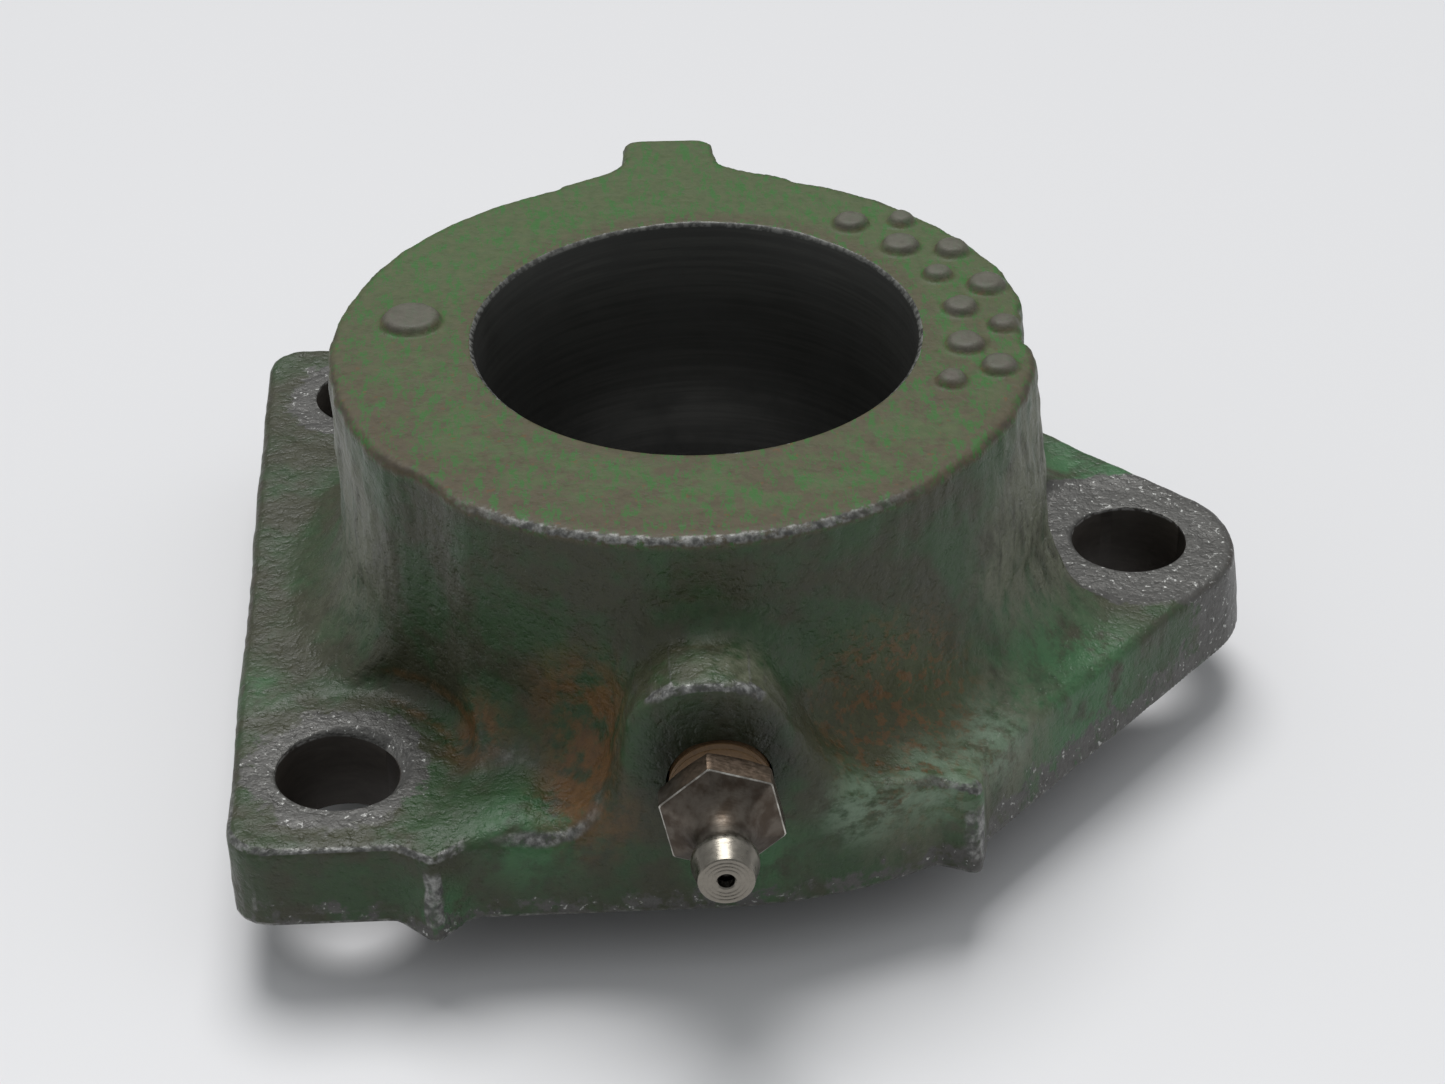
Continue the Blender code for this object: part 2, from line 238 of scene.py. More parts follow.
def hub_side(x, y, z):
    """Distance to the hub's wall, which flares towards the lobe and is dented at its right edge."""
    from_x, from_y = x - HUB_X, y - HUB_Y
    reach = np.hypot(from_x, from_y)
    towards_lobe = np.maximum(from_x / np.maximum(reach, 1), 0) ** 2
    depth = np.clip(HUB_FACE_Z - z, 0, 22)
    flare = 0.11 * depth * towards_lobe
    dent = 1.3 * np.exp(-(((y + 3.2) / 2.6) ** 2) - (depth / 7) ** 2) * (x > 0)
    return reach - HUB_RADIUS - flare + dent


def casting(x, y, z):
    """Signed distance to the raw casting, before it is bored and drilled."""
    swelling = 1.3 * np.exp(-(((x + 19.5) / 5) ** 2) - ((y + 43) / 4.5) ** 2)
    slab = z - FLANGE_TOP_Z - swelling
    front_right = np.exp(-(((x - 22) / 16) ** 2) - ((y + 26) / 16) ** 2)
    body = rounded_union(slab, hub_side(x, y, z), HUB_FILLET + 2.5 * front_right)
    boss = np.maximum(outline_distance(x, z, BOSS_OUTLINE), y + 20)
    body = rounded_union(body, boss, 3.6)
    beside_tab = np.maximum(np.abs(x - TAB_MIDDLE_X) - TAB_HALF_WIDTH, 0)
    under_tab = HUB_FACE_Z - TAB_DEPTH + 1.1 * beside_tab
    tab = np.maximum(outline_distance(x, y, TAB_OUTLINE), under_tab - z)
    body = rounded_union(body, tab, 1.2)
    front_wear = 0.45 + 0.65 * smooth_step(-y, -5, 25)
    body = rounded_common(body, z - HUB_FACE_Z - foundry_marks(x, y), front_wear)
    for name, (hole_x, hole_y) in BOLT_HOLES.items():
        beside = np.hypot(x - hole_x, y - hole_y) - SEAT_RADII[name]
        body = rounded_common(body, -rounded_common(beside, FLANGE_TOP_Z - z, 2.2), 0.6)
    rise = np.clip((z - MOUNTING_FACE_Z) / (FLANGE_TOP_Z - MOUNTING_FACE_Z), 0, 1)
    foot = outline_distance(x, y, FLANGE_FOOT_OUTLINE)
    top = outline_distance(x, y, FLANGE_TOP_OUTLINE)
    beside_boss = np.exp(-(((x + 15) / 7) ** 2)) + 0.8 * np.exp(-(((x - 12) / 4.5) ** 2))
    edge_round = 1.1 + 2.0 * beside_boss * smooth_step(-y, 20, 40)
    body = rounded_common(body, foot + (top - foot) * rise, edge_round)
    body = rounded_common(body, MOUNTING_FACE_Z - z, 0.4)
    spigot = rounded_common(np.hypot(x, y) - SPIGOT_RADIUS, np.abs(z - 5) - 5, 0.8)
    return np.minimum(body, spigot)


# ---- Noise on points ----


def lattice_value(cell, seed):
    """A repeatable number in -1 to 1 for each whole-numbered cell."""
    mixed = cell[:, 0] * 73856093 ^ cell[:, 1] * 19349663 ^ cell[:, 2] * 83492791 ^ seed * 2654435761
    mixed = (mixed ^ (mixed >> 13)) * 1274126177 & 0x7FFFFFFF
    mixed = (mixed ^ (mixed >> 15)) * 69069 & 0x7FFFFFFF
    return (mixed >> 7 & 0xFFFF) / 32767.5 - 1


def noise(points, size, seed):
    """Smooth noise in -1 to 1 that changes over about one size, which may differ by axis."""
    scaled = points / np.asarray(size)
    cell = np.floor(scaled).astype(np.int64)
    along = scaled - cell
    along = along * along * (3 - 2 * along)
    total = np.zeros(len(points))
    for step in itertools.product((0, 1), repeat=3):
        weight = np.prod(np.where(step, along, 1 - along), axis=1)
        total += weight * lattice_value(cell + np.array(step), seed)
    return total


# ---- Meshes ----


def crossings(field, axis):
    """The grid's edges along an axis where a field crosses zero, where they do, and which start outside."""
    inside = field < 0
    low = [slice(None)] * 3
    high = [slice(None)] * 3
    low[axis] = slice(0, -1)
    high[axis] = slice(1, None)
    edge = np.argwhere(inside[tuple(low)] != inside[tuple(high)])
    next_edge = edge.copy()
    next_edge[:, axis] += 1
    first = field[tuple(edge.T)]
    second = field[tuple(next_edge.T)]
    place = edge.astype(float)
    place[:, axis] += first / (first - second)
    return edge, place, first > 0


def surface_net(field, origin, pitch):
    """Closed quads where a field of distances crosses zero, with a point in each cell that it crosses."""
    cells = tuple(n - 1 for n in field.shape)
    count = cells[0] * cells[1] * cells[2]
    strides = np.array([cells[1] * cells[2], cells[2], 1])
    sums = np.zeros((count, 3))
    hits = np.zeros(count)
    quads = []
    for axis in range(3):
        edge, place, backward = crossings(field, axis)
        u, v = (axis + 1) % 3, (axis + 2) % 3
        ring = []
        for step_u, step_v in ((-1, -1), (0, -1), (0, 0), (-1, 0)):
            cell = edge.copy()
            cell[:, u] += step_u
            cell[:, v] += step_v
            index = cell @ strides
            ring.append(index)
            hits += np.bincount(index, minlength=count)
            for i in range(3):
                sums[:, i] += np.bincount(index, place[:, i], count)
        faces = np.stack(ring, axis=1)
        faces[backward] = faces[backward][:, ::-1]
        quads.append(faces)
    used = np.flatnonzero(hits)
    points = sums[used] / hits[used, None] * pitch + origin
    renumber = np.zeros(count, int)
    renumber[used] = np.arange(len(used))
    return points, renumber[np.concatenate(quads)]


def slope(shape, points, step=0.05):
    """A shape's distance at each point, and its unit gradient."""
    here = shape(*points.T)
    rises = []
    for axis in range(3):
        moved = points.copy()
        moved[:, axis] += step
        rises.append((shape(*moved.T) - here) / step)
    gradient = np.stack(rises, axis=1)
    return here, gradient / np.maximum(np.linalg.norm(gradient, axis=1, keepdims=True), 0.2)


def add_object(name, data):
    item = bpy.data.objects.new(name, data)
    bpy.context.scene.collection.objects.link(item)
    return item


def mesh_object(name, points, faces):
    """An object from points in millimetres about the bore's axis, and faces of equal size."""
    mesh = bpy.data.meshes.new(name)
    sides = faces.shape[1]
    mesh.vertices.add(len(points))
    mesh.vertices.foreach_set("co", (points * MM + np.array(BORE_AXIS)).ravel())
    mesh.loops.add(faces.size)
    mesh.loops.foreach_set("vertex_index", faces.ravel())
    mesh.polygons.add(len(faces))
    mesh.polygons.foreach_set("loop_start", np.arange(len(faces)) * sides)
    mesh.update(calc_edges=True)
    return add_object(name, mesh)


def turned_faces(rings, closed):
    """Points and quads through rings of equally many points, the last joined to the first when closed."""
    points = np.concatenate(rings)
    steps = len(rings[0])
    faces = []
    for i in range(len(rings) if closed else len(rings) - 1):
        low, high = i * steps, (i + 1) % len(rings) * steps
        for j in range(steps):
            k = (j + 1) % steps
            faces.append((low + j, low + k, high + k, high + j))
    return points, faces


def turned_cutter(name, profile, centre, along="z", steps=160):
    """A closed solid of (radius, height) points spun about an axis through a centre."""
    rings = []
    for radius, height in profile:
        angles = np.arange(steps) * math.tau / steps
        x, y = radius * np.cos(angles), radius * np.sin(angles)
        rings.append(np.stack([x, y, np.full(steps, height)], 1))
    points, faces = turned_faces(rings, False)
    faces.append(tuple(reversed(range(steps))))
    faces.append(tuple(range(len(points) - steps, len(points))))
    mesh = bpy.data.meshes.new(name)
    mesh.from_pydata((points * MM).tolist(), [], faces)
    item = add_object(name, mesh)
    item.location = Vector(centre) * MM + BORE_AXIS
    if along == "-y":
        item.rotation_euler = (math.pi / 2, 0, 0)
    return item


def cut(item, cutters):
    """Cuts each cutter out of an item for good."""
    for cutter in cutters:
        modifier = item.modifiers.new(cutter.name, "BOOLEAN")
        modifier.operation = "DIFFERENCE"
        modifier.solver = "MANIFOLD"
        modifier.object = cutter
    bpy.context.view_layer.update()
    evaluated = item.evaluated_get(bpy.context.evaluated_depsgraph_get())
    finished = bpy.data.meshes.new_from_object(evaluated)
    item.modifiers.clear()
    item.data = finished
    for cutter in cutters:
        bpy.data.objects.remove(cutter)


# ---- The casting ----


def cast_skin(points, normals):
    """How far each point of the casting stands off its ideal shape: sand grain, ripples and long waves."""
    x, y, z = points.T
    rough = smooth_step(z, MOUNTING_FACE_Z + 0.1, MOUNTING_FACE_Z + 1.0)
    flank = np.abs(normals[:, 0]) ** 1.5 * smooth_step(z, FLANGE_TOP_Z, FLANGE_TOP_Z + 8)
    waves = 0.22 * noise(points, 13, 1) + 0.12 * noise(points, 5.5, 2)
    ripples = (0.03 + 0.26 * flank) * noise(points, (1.3, 1.3, 3.6), 3)
    grain = 0.06 * noise(points, 1.2, 4)
    hub_face = smooth_step(z, HUB_FACE_Z - 0.5, HUB_FACE_Z) * np.abs(normals[:, 2])
    return rough * (waves * (1 - 0.6 * hub_face) + ripples + grain * (1 - 0.5 * hub_face))


def worn_edges(points, here, normals):
    """Mask of the edges that rub bare: those on top, the upright ones, and a line along the flange's foot."""
    x, y, z = points.T
    deep = casting(*(points - normals * EDGE_DEPTH).T)
    bent = np.clip((EDGE_DEPTH + deep - here) / 0.1, 0, 1)
    level = normals[:, 2]
    # The shoulder left of the boss joins the edge mask, so that its band is coloured as rubbed iron with
    # painted highlights.
    shoulder = np.exp(-(((x + 17) / 5.5) ** 2) - ((y + 46) / 3.5) ** 2)
    shoulder *= smooth_step(z, FLANGE_TOP_Z - 3, FLANGE_TOP_Z - 1.5) * (1 - smooth_step(level, 0.65, 0.85))
    top_edge = smooth_step(level, 0.3, 0.55) * (1 - smooth_step(level, 0.86, 0.97))
    top_edge *= np.maximum(bent, shoulder)
    upright = bent * (1 - smooth_step(np.abs(level), 0.1, 0.3))
    upright *= smooth_step(-z, 1.6 - FLANGE_TOP_Z, 2.6 - FLANGE_TOP_Z)
    upright *= smooth_step(z, MOUNTING_FACE_Z + 1.2, MOUNTING_FACE_Z + 2.0)
    foot_line = 1 - smooth_step(z, MOUNTING_FACE_Z + 0.25, MOUNTING_FACE_Z + 0.5)
    return np.maximum(np.maximum(top_edge, 0.8 * upright), foot_line * (z > MOUNTING_FACE_Z - 0.5))


def wall_marks(points):
    """Masks for the finish, measured on the shape itself: worn edges, hollows and raised marks."""
    x, y, z = points.T
    here, normals = slope(casting, points)
    open_air = casting(*(points + normals * HOLLOW_REACH).T)
    hollow = np.clip((HOLLOW_REACH + here - open_air) / 2.5, 0, 1)
    mark = smooth_step(z, HUB_FACE_Z - 0.3, HUB_FACE_Z) * foundry_marks(x, y) / MARK_HEIGHT
    return {"edge": worn_edges(points, here, normals), "hollow": hollow, "mark": mark}


def cast_housing():
    """The casting as a mesh, from a grid a little larger than it, settled on its shape and roughened."""
    low = np.array([-51.5, -53.5, -1.0]) - GRID_PITCH
    high = np.array([60.5, 52.0, HUB_FACE_Z + 1.2])
    counts = np.ceil((high - low) / GRID_PITCH).astype(int)
    x, y, z = (low[i] + GRID_PITCH * np.arange(counts[i]) for i in range(3))
    field = casting(x[:, None, None], y[None, :, None], z[None, None, :])
    points, faces = surface_net(field, low, GRID_PITCH)
    for _ in range(2):
        off, normals = slope(casting, points)
        points -= normals * np.clip(off, -0.3, 0.3)[:, None]
    off, normals = slope(casting, points)
    points += normals * cast_skin(points, normals)[:, None]
    return mesh_object("cast_housing", points, faces)


def holes():
    """Cutters for the bore, the bolt holes, a chip off one rim, and the threaded port."""
    over = 3
    wide = BORE_RADIUS + BORE_CHAMFER + over
    bore = [(wide, -over), (BORE_RADIUS, BORE_CHAMFER), (BORE_RADIUS, HUB_FACE_Z - BORE_CHAMFER)]
    bore.append((wide, HUB_FACE_Z + over))
    cutters = [turned_cutter("bore", bore, (0, 0, 0), steps=256)]
    rim_z = FLANGE_TOP_Z - BOLT_HOLE_CHAMFER
    drill = [(BOLT_HOLE_RADIUS, 0), (BOLT_HOLE_RADIUS, rim_z), (BOLT_HOLE_RADIUS + over, rim_z + over)]
    for name, (x, y) in BOLT_HOLES.items():
        cutters.append(turned_cutter(name, drill, (x, y, 0), steps=96))
    chip = [(BOLT_HOLE_RADIUS - 0.6, FLANGE_TOP_Z - 1.2), (BOLT_HOLE_RADIUS + 1.4, FLANGE_TOP_Z + 0.8)]
    chip_middle = (FRONT_HOLE[0] + 0.7, FRONT_HOLE[1] + 0.15, 0)
    cutters.append(turned_cutter("chipped_rim", chip, chip_middle, steps=64))
    # A tapered hole for the thread, and behind it a narrow passage into the bore
    port = [(2.0, -27), (2.0, -10.5), (4.9, -9), (5.4, over)]
    cutters.append(turned_cutter("port", port, (FITTING_X, FRONT_EDGE_Y, FITTING_Z), "-y", steps=64))
    return cutters


def read_places(elements, key):
    """Where a mesh's points or faces are, in millimetres about the bore's axis."""
    places = np.empty(len(elements) * 3)
    elements.foreach_get(key, places)
    return (places.reshape(-1, 3) - np.array(BORE_AXIS)) / MM


def mark_machined(item):
    """Gives bored faces the second material and drilled ones the third, and stores the points' masks."""
    mesh = item.data
    x, y, z = read_places(mesh.polygons, "center").T
    bored = np.hypot(x, y) < BORE_RADIUS + BORE_CHAMFER + 0.02
    bored &= z < HUB_FACE_Z - 0.02
    drilled = np.zeros(len(z), bool)
    for hole_x, hole_y in BOLT_HOLES.values():
        drilled |= np.hypot(x - hole_x, y - hole_y) < BOLT_HOLE_RADIUS + 0.02
    mesh.polygons.foreach_set("material_index", np.where(bored, 1, np.where(drilled, 2, 0)))
    for name, values in wall_marks(read_places(mesh.vertices, "co")).items():
        mesh.attributes.new(name, "FLOAT", "POINT").data.foreach_set("value", values)


def smooth(item, degrees):
    item.data.shade_smooth()
    item.data.set_sharp_from_angle(angle=math.radians(degrees))


def build_housing():
    item = cast_housing()
    cut(item, holes())
    item.data.materials.clear()
    for made in (paint_material(), bored_material(), drilled_material()):
        item.data.materials.append(made)
    mark_machined(item)
    smooth(item, 50)
    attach(item, "bearing")
    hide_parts("housing")


# ---- The grease fitting ----


def hexagon_radius(angles):
    """Radius of the spanner hexagon at each angle, with its corners just blunted."""
    from_flat = (angles + HEX_TURN) % (math.pi / 3) - math.pi / 6
    return np.minimum(HEX_FLAT_RADIUS / np.cos(from_flat), HEX_FLAT_RADIUS * 1.145)


def fitting_rings():
    """(distance out, radius, share of the hexagon) of each ring, from the thread to the tip and back in."""
    rings = []
    # The thread as rings, tapering by one part in 32 on the radius
    for i in range(8):
        start = THREAD_START + i * THREAD_PITCH
        for part, radius in ((0.0, 4.62), (0.15, 4.7), (0.42, 5.02), (0.58, 5.02), (0.85, 4.7)):
            rings.append((start + part * THREAD_PITCH, radius + start / 32, 0))
    # The hexagon, with its inner edge turned round
    rings += [(1.45, 4.6, 0), (1.75, 4.66, 0), (1.95, 4.9, 0.1), (2.15, 5.2, 0.35), (2.45, 5.45, 0.7)]
    rings.append((2.8, 5.55, 0.92))
    rings += [(out, HEX_RING_RADIUS, 1) for out in (3.1, 4.4, HEX_END - 0.08)]
    rings.append((HEX_END, 5.53, 1))
    # The hollow cone from the hexagon to the neck
    for i in range(1, 17):
        along = i / 16
        hexness = (1 - smooth_step(along, 0.0, 0.62)) * 0.97
        radius = 2.5 + (5.45 - 2.5) * (1 - along) ** 2.1
        rings.append((HEX_END + 3.6 * along, radius, float(hexness) * (1 - along) ** 1.2))
    # The neck, the nipple's head and its grooved end
    rings += [(9.9, 2.48, 0), (10.5, 2.6, 0), (11.0, 2.98, 0), (11.25, 3.2, 0), (11.5, 3.27, 0)]
    rings += [(12.0, 3.27, 0), (12.25, 3.24, 0), (12.5, 3.14, 0), (13.0, 3.02, 0), (13.6, 2.88, 0)]
    rings += [(14.1, 2.77, 0), (14.35, 2.7, 0), (TIP_END, 2.58, 0)]
    for groove in (2.2, 1.8, 1.4):
        rings += [(TIP_END, groove + 0.1, 0), (TIP_END - 0.05, groove, 0), (TIP_END, groove - 0.1, 0)]
    # The inlet, the ball's room and the way out at the inner end
    rings += [(TIP_END, 0.95, 0), (TIP_END - 0.12, 0.82, 0), (13.4, 0.8, 0), (12.65, 1.62, 0)]
    rings += [(3.3, 1.62, 0), (3.2, 1.1, 0), (THREAD_START, 1.1, 0)]
    return rings


def build_fitting():
    steps = 144
    angles = np.arange(steps) * math.tau / steps
    rings = []
    for out, radius, share in fitting_rings():
        reach = radius + (hexagon_radius(angles) * radius / HEX_RING_RADIUS - radius) * share
        x = FITTING_X + reach * np.cos(angles)
        y = np.full(steps, FRONT_EDGE_Y - out)
        rings.append(np.stack([x, y, FITTING_Z + reach * np.sin(angles)], 1))
    points, faces = turned_faces(rings, True)
    item = mesh_object("fitting_body", points, np.array(faces))
    bm = bmesh.new()
    bm.from_mesh(item.data)
    bmesh.ops.recalc_face_normals(bm, faces=bm.faces)
    bm.to_mesh(item.data)
    bm.free()
    item.data.materials.append(fitting_material())
    smooth(item, 32)
    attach(item, "bearing")
    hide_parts("grease_fitting")


# ---- Materials ----


class Nodes:
    """A short way to write the nodes of a material or of the world."""

    def __init__(self, owner, coordinates):
        owner.use_nodes = True
        self.owner = owner
        self.tree = owner.node_tree
        self.place = self.tree.nodes.new("ShaderNodeTexCoord").outputs[coordinates]

    def put(self, socket, value):
        if isinstance(value, bpy.types.NodeSocket):
            self.tree.links.new(value, socket)
        elif isinstance(value, tuple) and len(value) == 3 and socket.type == "RGBA":
            socket.default_value = (*value, 1)
        else:
            socket.default_value = value

    def scaled(self, vector, scale, move=(0, 0, 0)):
        node = self.tree.nodes.new("ShaderNodeMapping")
        self.put(node.inputs["Vector"], vector)
        node.inputs["Scale"].default_value = scale
        node.inputs["Location"].default_value = move
        return node.outputs["Vector"]

    def noise(self, size, detail=3.0, stretch=(1, 1, 1), move=(0, 0, 0), rough=0.55):
        """Noise from 0 to 1 with features of about that size."""
        node = self.tree.nodes.new("ShaderNodeTexNoise")
        self.put(node.inputs["Vector"], self.scaled(self.place, stretch, move))
        node.inputs["Scale"].default_value = 1 / size
        node.inputs["Detail"].default_value = detail
        node.inputs["Roughness"].default_value = rough
        return node.outputs["Fac"]

    def mask(self, name):
        node = self.tree.nodes.new("ShaderNodeAttribute")
        node.attribute_name = name
        return node.outputs["Fac"]

    def math(self, operation, a, b=0.0, clamp=False):
        node = self.tree.nodes.new("ShaderNodeMath")
        node.operation = operation
        node.use_clamp = clamp
        self.put(node.inputs[0], a)
        self.put(node.inputs[1], b)
        return node.outputs[0]

    def plus(self, a, b, clamp=False):
        return self.math("ADD", a, b, clamp)

    def times(self, a, b, clamp=False):
        return self.math("MULTIPLY", a, b, clamp)

    def ramp(self, value, low, high, out_low=0.0, out_high=1.0, smooth_ends=True):
        node = self.tree.nodes.new("ShaderNodeMapRange")
        node.interpolation_type = "SMOOTHSTEP" if smooth_ends else "LINEAR"
        self.put(node.inputs["Value"], value)
        node.inputs["From Min"].default_value = low
        node.inputs["From Max"].default_value = high
        node.inputs["To Min"].default_value = out_low
        node.inputs["To Max"].default_value = out_high
        return node.outputs["Result"]

    def mix(self, share, a, b):
        node = self.tree.nodes.new("ShaderNodeMix")
        node.data_type = "RGBA"
        self.put(node.inputs["Factor"], share)
        self.put(node.inputs[6], a)
        self.put(node.inputs[7], b)
        return node.outputs[2]

    def axis(self, letter):
        node = self.tree.nodes.new("ShaderNodeSeparateXYZ")
        self.put(node.inputs[0], self.place)
        return node.outputs[letter]

    def reach(self):
        """Distance from the bore's axis."""
        node = self.tree.nodes.new("ShaderNodeVectorMath")
        node.operation = "LENGTH"
        self.put(node.inputs[0], self.scaled(self.place, (1, 1, 0)))
        return node.outputs["Value"]

    def near(self, centre, inner, outer):
        """1 within the inner distance of a point, falling to 0 at the outer one."""
        node = self.tree.nodes.new("ShaderNodeVectorMath")
        node.operation = "DISTANCE"
        self.put(node.inputs[0], self.place)
        node.inputs[1].default_value = centre
        return self.ramp(node.outputs["Value"], inner, outer, 1.0, 0.0)

    def near_any(self, spots, total=0.0):
        """A total raised by 'near' for each (centre, inner, outer) spot, up to 1."""
        for centre, inner, outer in spots:
            total = self.plus(total, self.near(centre, inner, outer), True)
        return total

    def bump(self, height, distance, strength=1.0, over=None):
        node = self.tree.nodes.new("ShaderNodeBump")
        node.inputs["Distance"].default_value = distance * MM
        self.put(node.inputs["Strength"], strength)
        self.put(node.inputs["Height"], height)
        if over is not None:
            self.put(node.inputs["Normal"], over)
        return node.outputs["Normal"]

    def finish(self, **values):
        """Sets the shader's inputs, whose names are written with underscores, and returns the material."""
        shader = self.tree.nodes["Principled BSDF"]
        for name, value in values.items():
            self.put(shader.inputs[name.replace("_", " ")], value)
        return self.owner


def new_material(name):
    """The nodes of a new material, with their places in millimetres about the bore's axis."""
    n = Nodes(bpy.data.materials.new(name), "Object")
    n.place = n.scaled(n.place, (1 / MM,) * 3, -BORE_AXIS / MM)
    return n


def paint_material():
    """Old dark green paint over rough iron, rubbed bare on edges and round the bolt holes, with rust, and
    with painted highlights, painted sheen and painted shade in places.
    """
    n = new_material("worn_green_paint")
    fine = n.noise(1.1, 5, rough=0.65)
    colour = green_paint(n, fine)
    for layer in (painted_sheen_and_brown, hub_face_film, rust_stains, ridge_highlight_and_painted_shade):
        colour = layer(n, fine, colour)
    colour, stripped = bare_iron(n, fine, colour)
    mark = n.mix(fine, (0.08, 0.07, 0.058), (0.17, 0.155, 0.135))
    colour = n.mix(n.times(n.mask("mark"), 0.8), colour, mark)
    on_face = n.ramp(n.axis("Z"), HUB_FACE_Z - 1, HUB_FACE_Z - 0.3)
    rough = n.plus(n.ramp(fine, 0.3, 0.7, 0.36, 0.5), n.times(on_face, 0.1))
    shine = n.ramp(on_face, 0, 1, 0.42, 0.25)
    return n.finish(Base_Color=colour, Roughness=rough, Metallic=n.times(stripped, 0.6),
                    Specular_IOR_Level=shine, Normal=pitted_normal(n, on_face))


def green_paint(n, fine):
    """Dark green with olive blotches, and a brighter green where it is fresh."""
    olive = n.mix(fine, (0.022, 0.025, 0.012), (0.066, 0.069, 0.036))
    green = n.mix(fine, (0.016, 0.042, 0.014), (0.046, 0.096, 0.036))
    fresh = n.mix(fine, (0.03, 0.105, 0.04), (0.065, 0.165, 0.065))
    colour = n.mix(n.ramp(n.noise(8, 4, rough=0.6), 0.42, 0.62), olive, green)
    return n.mix(fresh_paint(n), colour, fresh)


def bare_iron(n, fine, colour):
    """The colour with bare, tarnished and rubbed iron laid over it, the rubbed iron and bare specks painted
    bright as highlights, and how far the paint is gone.
    """
    iron = n.mix(n.noise(0.8, 4, rough=0.7), (0.05, 0.048, 0.045), (0.14, 0.137, 0.128))
    # Painted glints: bright specks on the bare iron.
    iron = n.mix(n.ramp(n.noise(0.55, 3, move=(3, 1, 6)), 0.62, 0.7), iron, (0.5, 0.5, 0.48))
    bare = bare_places(n)
    colour = n.mix(bare, colour, iron)
    edge = n.mask("edge")
    tarnished = n.ramp(n.noise(5, 4, move=(9, 4, 2)), 0.4, 0.6, 0.0, 0.7)
    tarnish = n.mix(fine, (0.03, 0.024, 0.018), (0.085, 0.07, 0.055))
    colour = n.mix(n.times(edge, tarnished), colour, tarnish)
    broken = n.ramp(n.noise(1.1, 5, move=(1, 2, 3), rough=0.7), 0.3, 0.52)
    worn = n.times(rubbed_and_highlit_edges(n, edge), broken, True)
    # Painted highlight: the rubbed edges are coloured up to a bright grey in places, over the real wear.
    painted_glints = n.ramp(n.noise(0.8, 3, move=(2, 2, 2)), 0.35, 0.75)
    colour = n.mix(worn, colour, n.mix(painted_glints, (0.09, 0.09, 0.085), (0.36, 0.36, 0.345)))
    return colour, n.math("MAXIMUM", worn, n.times(bare, 0.5))


def pitted_normal(n, on_face):
    """Pits and grain in the surface, calmer on the hub face."""
    calm = n.ramp(on_face, 0, 1, 1.0, 0.35, False)
    pits = n.ramp(n.noise(0.9, 2, move=(5, 5, 1)), 0.25, 0.55)
    pitted = n.bump(pits, 0.12, n.times(calm, 0.6))
    return n.bump(n.noise(0.5, 3, rough=0.65), 0.12, n.times(calm, 0.8), pitted)


def rubbed_and_highlit_edges(n, edge):
    """Edges rubbed to bare iron, painted bright as highlights: the front of the hub and the flange, the boss,
    the ribs and the foot.
    """
    spots = [((-3, -38.5, 45), 14, 27), ((-34, -49, 17), 13, 21), ((-17, -47, 18), 4, 8)]
    spots += [((-1, -48, 34), 5, 9), ((26, -44, 13), 4, 9), ((-28, -52, 10), 2, 6)]
    low = n.ramp(n.axis("Z"), 8.0, 8.6, 0.5, 0.04)
    return n.times(n.ramp(edge, 0.1, 0.8), n.near_any(spots, low))


def fresh_paint(n):
    """Where the green is brightest: the slope and the wall by the lobe, and low on the front."""
    spots = [((38, -26, 17), 5, 16), ((46, 15, 17), 4, 10), ((24, -43, 17), 2, 8), ((-18, -47, 17), 2, 9)]
    spots += [((-47, -22, 17), 0, 7), ((-27, -51, 10), 1, 6), ((3, -48, 14), 1, 9)]
    ragged = n.ramp(n.noise(4, 5, move=(5, 1, 2), rough=0.65), 0.34, 0.56)
    return n.times(n.near_any(spots), ragged, True)


def painted_sheen_and_brown(n, fine, colour):
    """A pale olive laid on the hub's flanks and the slope beside it as painted sheen where they catch the
    light, and the paint browned at the left.
    """
    spots = [((35, -9, 33), 8, 21), ((-38, -10, 32), 7, 18), ((30, -35, 18), 2, 13), ((2, -44, 33), 1, 7)]
    spots += [((32, -20, 30), 2, 12), ((20, -48, 13), 1, 8)]
    # Painted highlight: pale streaks on the flanks and the slope.
    pale = n.mix(fine, (0.06, 0.068, 0.036), (0.19, 0.2, 0.14))
    streaky = n.ramp(n.noise(1.8, 4, (1, 1, 0.4), (3, 3, 3), 0.6), 0.3, 0.62)
    colour = n.mix(n.times(n.near_any(spots), streaky, True), colour, pale)
    brown = n.mix(fine, (0.028, 0.027, 0.015), (0.064, 0.062, 0.036))
    left = n.ramp(n.axis("X"), -34, -44, 0.0, 0.45)
    patches = n.ramp(n.noise(6, 4, move=(1, 7, 7)), 0.3, 0.55)
    return n.mix(n.times(left, patches), colour, brown)


